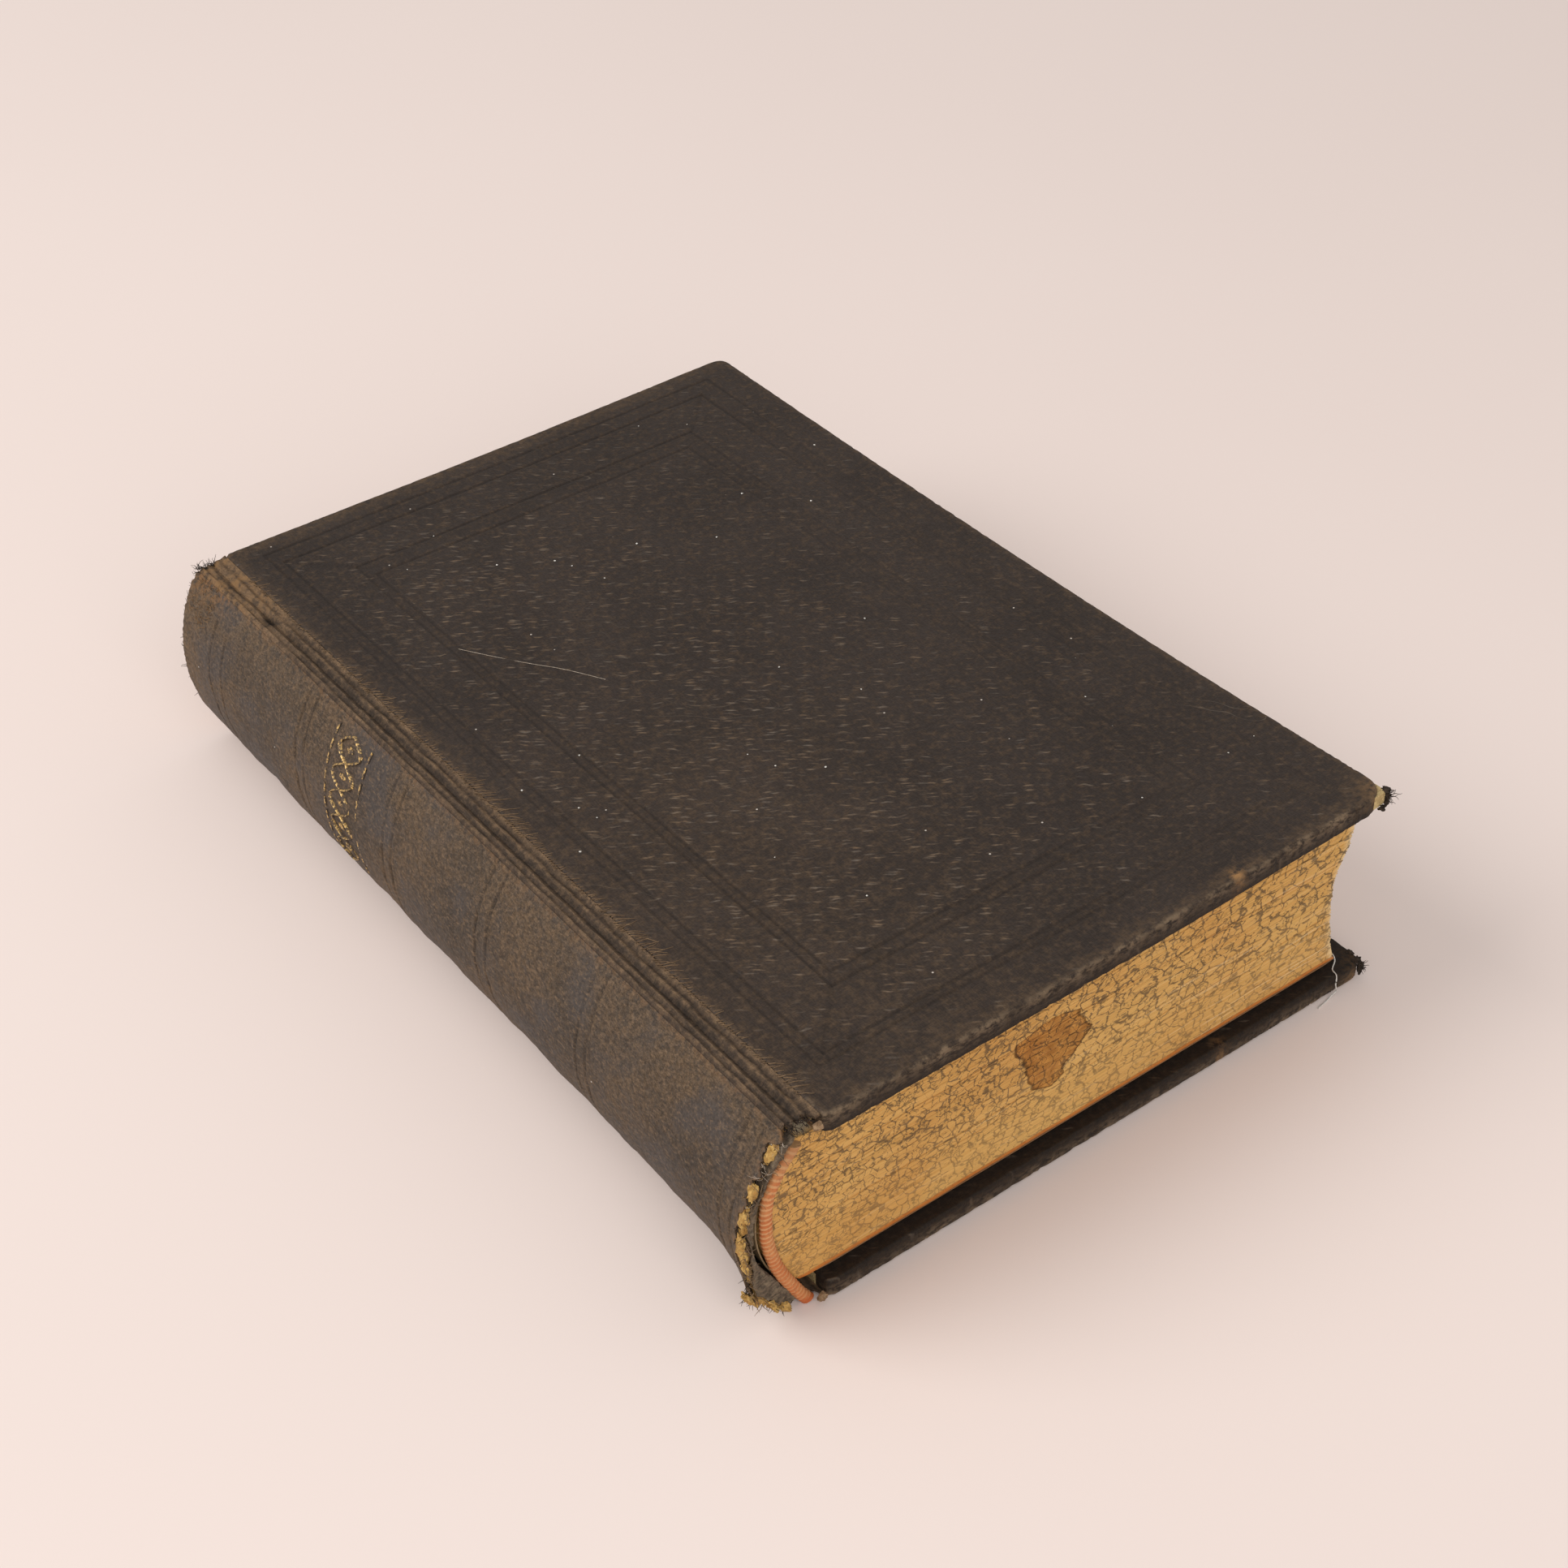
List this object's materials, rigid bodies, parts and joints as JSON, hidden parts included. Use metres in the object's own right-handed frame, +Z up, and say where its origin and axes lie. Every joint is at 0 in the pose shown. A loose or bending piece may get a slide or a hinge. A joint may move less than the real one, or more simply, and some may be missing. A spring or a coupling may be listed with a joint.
{
  "type": "prayer book",
  "caption": "Closed cloth-bound prayer book with two hinged covers, a hollow rounded spine, flyleaves and a block of gatherings that fans open.",
  "frame": {"origin": "under the middle of the closed book, on the surface that it lies on", "axes": "+X from the spine to the fore edge, +Y from the tail to the head (the book's height), +Z up through its thickness, from the back cover to the front cover"},
  "size_m": [0.1168, 0.17, 0.0362],
  "materials": {
    "cover_cloth": "matt dark brown-black book cloth, pebbled, blind-stamped with line frames, worn brown at its edges",
    "worn_cloth": "the same cloth rubbed down to brown threads in the joints",
    "board": "straw-coloured pulp board, rough where it shows at the corners",
    "page_edges": "ochre page edges with a fine grey-brown veined marbling, browned inside",
    "endpaper": "plain uncoated cream paper, browned at its edges",
    "mull": "open starched gauze",
    "headband": "orange-pink and cream striped cotton band",
    "thread": "unbleached linen"
  },
  "bodies": {
    "back_cover": {"back_board": "board", "back_cover_cloth": "cover_cloth", "back_pastedown": "endpaper", "back_joint_cloth": "worn_cloth"},
    "back_leaf": {"back_flyleaf": "endpaper"},
    "block_16": {"gathering_16": "page_edges"},
    "block_15": {"gathering_15": "page_edges"},
    "block_14": {"gathering_14": "page_edges"},
    "block_13": {"gathering_13": "page_edges"},
    "block_12": {"gathering_12": "page_edges"},
    "block_11": {"gathering_11": "page_edges"},
    "block_10": {"gathering_10": "page_edges"},
    "block_09": {"gathering_09": "page_edges"},
    "block_08": {"gathering_08": "page_edges", "sewing_tape_1": "thread", "sewing_tape_2": "thread", "sewing_tape_3": "thread", "mull": "mull", "spine_lining": "endpaper", "tail_kettle_stitch": "thread", "head_kettle_stitch": "thread", "tail_band": "headband", "head_band": "headband"},
    "block_07": {"gathering_07": "page_edges"},
    "block_06": {"gathering_06": "page_edges"},
    "block_05": {"gathering_05": "page_edges"},
    "block_04": {"gathering_04": "page_edges"},
    "block_03": {"gathering_03": "page_edges"},
    "block_02": {"gathering_02": "page_edges"},
    "block_01": {"gathering_01": "page_edges"},
    "spine": {"spine_cloth": "cover_cloth", "spine_inlay": "board"},
    "front_leaf": {"front_flyleaf": "endpaper"},
    "front_cover": {"front_board": "board", "front_cover_cloth": "cover_cloth", "front_pastedown": "endpaper", "front_joint_cloth": "worn_cloth"}
  },
  "joints": [
    {"name": "back_cover_hinge", "type": "hinge", "parent": "back_cover", "child": "back_leaf", "pos_m": [-0.04985, 0, 0.0009], "axis": [0, -1, 0], "range_deg": [0, 170], "deforming": ["back_joint_cloth"]},
    {"name": "back_flyleaf_turn", "type": "hinge", "parent": "back_leaf", "child": "block_16", "pos_m": [-0.04755, 0, 0.00413], "axis": [0, 1, 0], "range_deg": [-80, 0]},
    {"name": "spine_swing", "type": "hinge", "parent": "block_16", "child": "spine", "pos_m": [-0.05235, 0, 0.0015], "axis": [0, 1, 0], "range_deg": [-53, 0]},
    {"name": "gathering_15_turn", "type": "hinge", "parent": "block_16", "child": "block_15", "pos_m": [-0.0519, 0, 0.00585], "axis": [0, 1, 0], "range_deg": [-5, 0]},
    {"name": "gathering_14_turn", "type": "hinge", "parent": "block_15", "child": "block_14", "pos_m": [-0.05321, 0, 0.0076], "axis": [0, 1, 0], "range_deg": [-5, 0]},
    {"name": "gathering_13_turn", "type": "hinge", "parent": "block_14", "child": "block_13", "pos_m": [-0.05423, 0, 0.00935], "axis": [0, 1, 0], "range_deg": [-5, 0]},
    {"name": "gathering_12_turn", "type": "hinge", "parent": "block_13", "child": "block_12", "pos_m": [-0.05502, 0, 0.0111], "axis": [0, 1, 0], "range_deg": [-5, 0]},
    {"name": "gathering_11_turn", "type": "hinge", "parent": "block_12", "child": "block_11", "pos_m": [-0.05561, 0, 0.01285], "axis": [0, 1, 0], "range_deg": [-5, 0]},
    {"name": "gathering_10_turn", "type": "hinge", "parent": "block_11", "child": "block_10", "pos_m": [-0.05603, 0, 0.0146], "axis": [0, 1, 0], "range_deg": [-5, 0]},
    {"name": "gathering_09_turn", "type": "hinge", "parent": "block_10", "child": "block_09", "pos_m": [-0.05627, 0, 0.01635], "axis": [0, 1, 0], "range_deg": [-5, 0]},
    {"name": "block_opening", "type": "hinge", "parent": "block_09", "child": "block_08", "pos_m": [-0.05635, 0, 0.0181], "axis": [0, 1, 0], "range_deg": [-30, 0], "deforming": ["sewing_tape_1", "sewing_tape_2", "sewing_tape_3", "mull", "spine_lining", "tail_kettle_stitch", "head_kettle_stitch", "tail_band", "head_band"]},
    {"name": "gathering_07_turn", "type": "hinge", "parent": "block_08", "child": "block_07", "pos_m": [-0.05627, 0, 0.01985], "axis": [0, 1, 0], "range_deg": [-5, 0]},
    {"name": "gathering_06_turn", "type": "hinge", "parent": "block_07", "child": "block_06", "pos_m": [-0.05603, 0, 0.0216], "axis": [0, 1, 0], "range_deg": [-5, 0]},
    {"name": "gathering_05_turn", "type": "hinge", "parent": "block_06", "child": "block_05", "pos_m": [-0.05561, 0, 0.02335], "axis": [0, 1, 0], "range_deg": [-5, 0]},
    {"name": "gathering_04_turn", "type": "hinge", "parent": "block_05", "child": "block_04", "pos_m": [-0.05502, 0, 0.0251], "axis": [0, 1, 0], "range_deg": [-5, 0]},
    {"name": "gathering_03_turn", "type": "hinge", "parent": "block_04", "child": "block_03", "pos_m": [-0.05423, 0, 0.02685], "axis": [0, 1, 0], "range_deg": [-5, 0]},
    {"name": "gathering_02_turn", "type": "hinge", "parent": "block_03", "child": "block_02", "pos_m": [-0.05321, 0, 0.0286], "axis": [0, 1, 0], "range_deg": [-5, 0]},
    {"name": "gathering_01_turn", "type": "hinge", "parent": "block_02", "child": "block_01", "pos_m": [-0.0519, 0, 0.03035], "axis": [0, 1, 0], "range_deg": [-5, 0]},
    {"name": "front_flyleaf_turn", "type": "hinge", "parent": "block_01", "child": "front_leaf", "pos_m": [-0.04755, 0, 0.03207], "axis": [0, 1, 0], "range_deg": [-80, 0]},
    {"name": "front_cover_hinge", "type": "hinge", "parent": "front_leaf", "child": "front_cover", "pos_m": [-0.04985, 0, 0.0353], "axis": [0, -1, 0], "range_deg": [0, 170], "deforming": ["front_joint_cloth"]}
  ],
  "couplings": [
    {"joint": "spine_swing", "follows": "block_opening", "ratio": 1.7667},
    {"joint": "gathering_15_turn", "follows": "block_opening", "ratio": 0.16667},
    {"joint": "gathering_14_turn", "follows": "block_opening", "ratio": 0.16667},
    {"joint": "gathering_13_turn", "follows": "block_opening", "ratio": 0.16667},
    {"joint": "gathering_12_turn", "follows": "block_opening", "ratio": 0.16667},
    {"joint": "gathering_11_turn", "follows": "block_opening", "ratio": 0.16667},
    {"joint": "gathering_10_turn", "follows": "block_opening", "ratio": 0.16667},
    {"joint": "gathering_09_turn", "follows": "block_opening", "ratio": 0.16667},
    {"joint": "gathering_07_turn", "follows": "block_opening", "ratio": 0.16667},
    {"joint": "gathering_06_turn", "follows": "block_opening", "ratio": 0.16667},
    {"joint": "gathering_05_turn", "follows": "block_opening", "ratio": 0.16667},
    {"joint": "gathering_04_turn", "follows": "block_opening", "ratio": 0.16667},
    {"joint": "gathering_03_turn", "follows": "block_opening", "ratio": 0.16667},
    {"joint": "gathering_02_turn", "follows": "block_opening", "ratio": 0.16667},
    {"joint": "gathering_01_turn", "follows": "block_opening", "ratio": 0.16667}
  ]
}
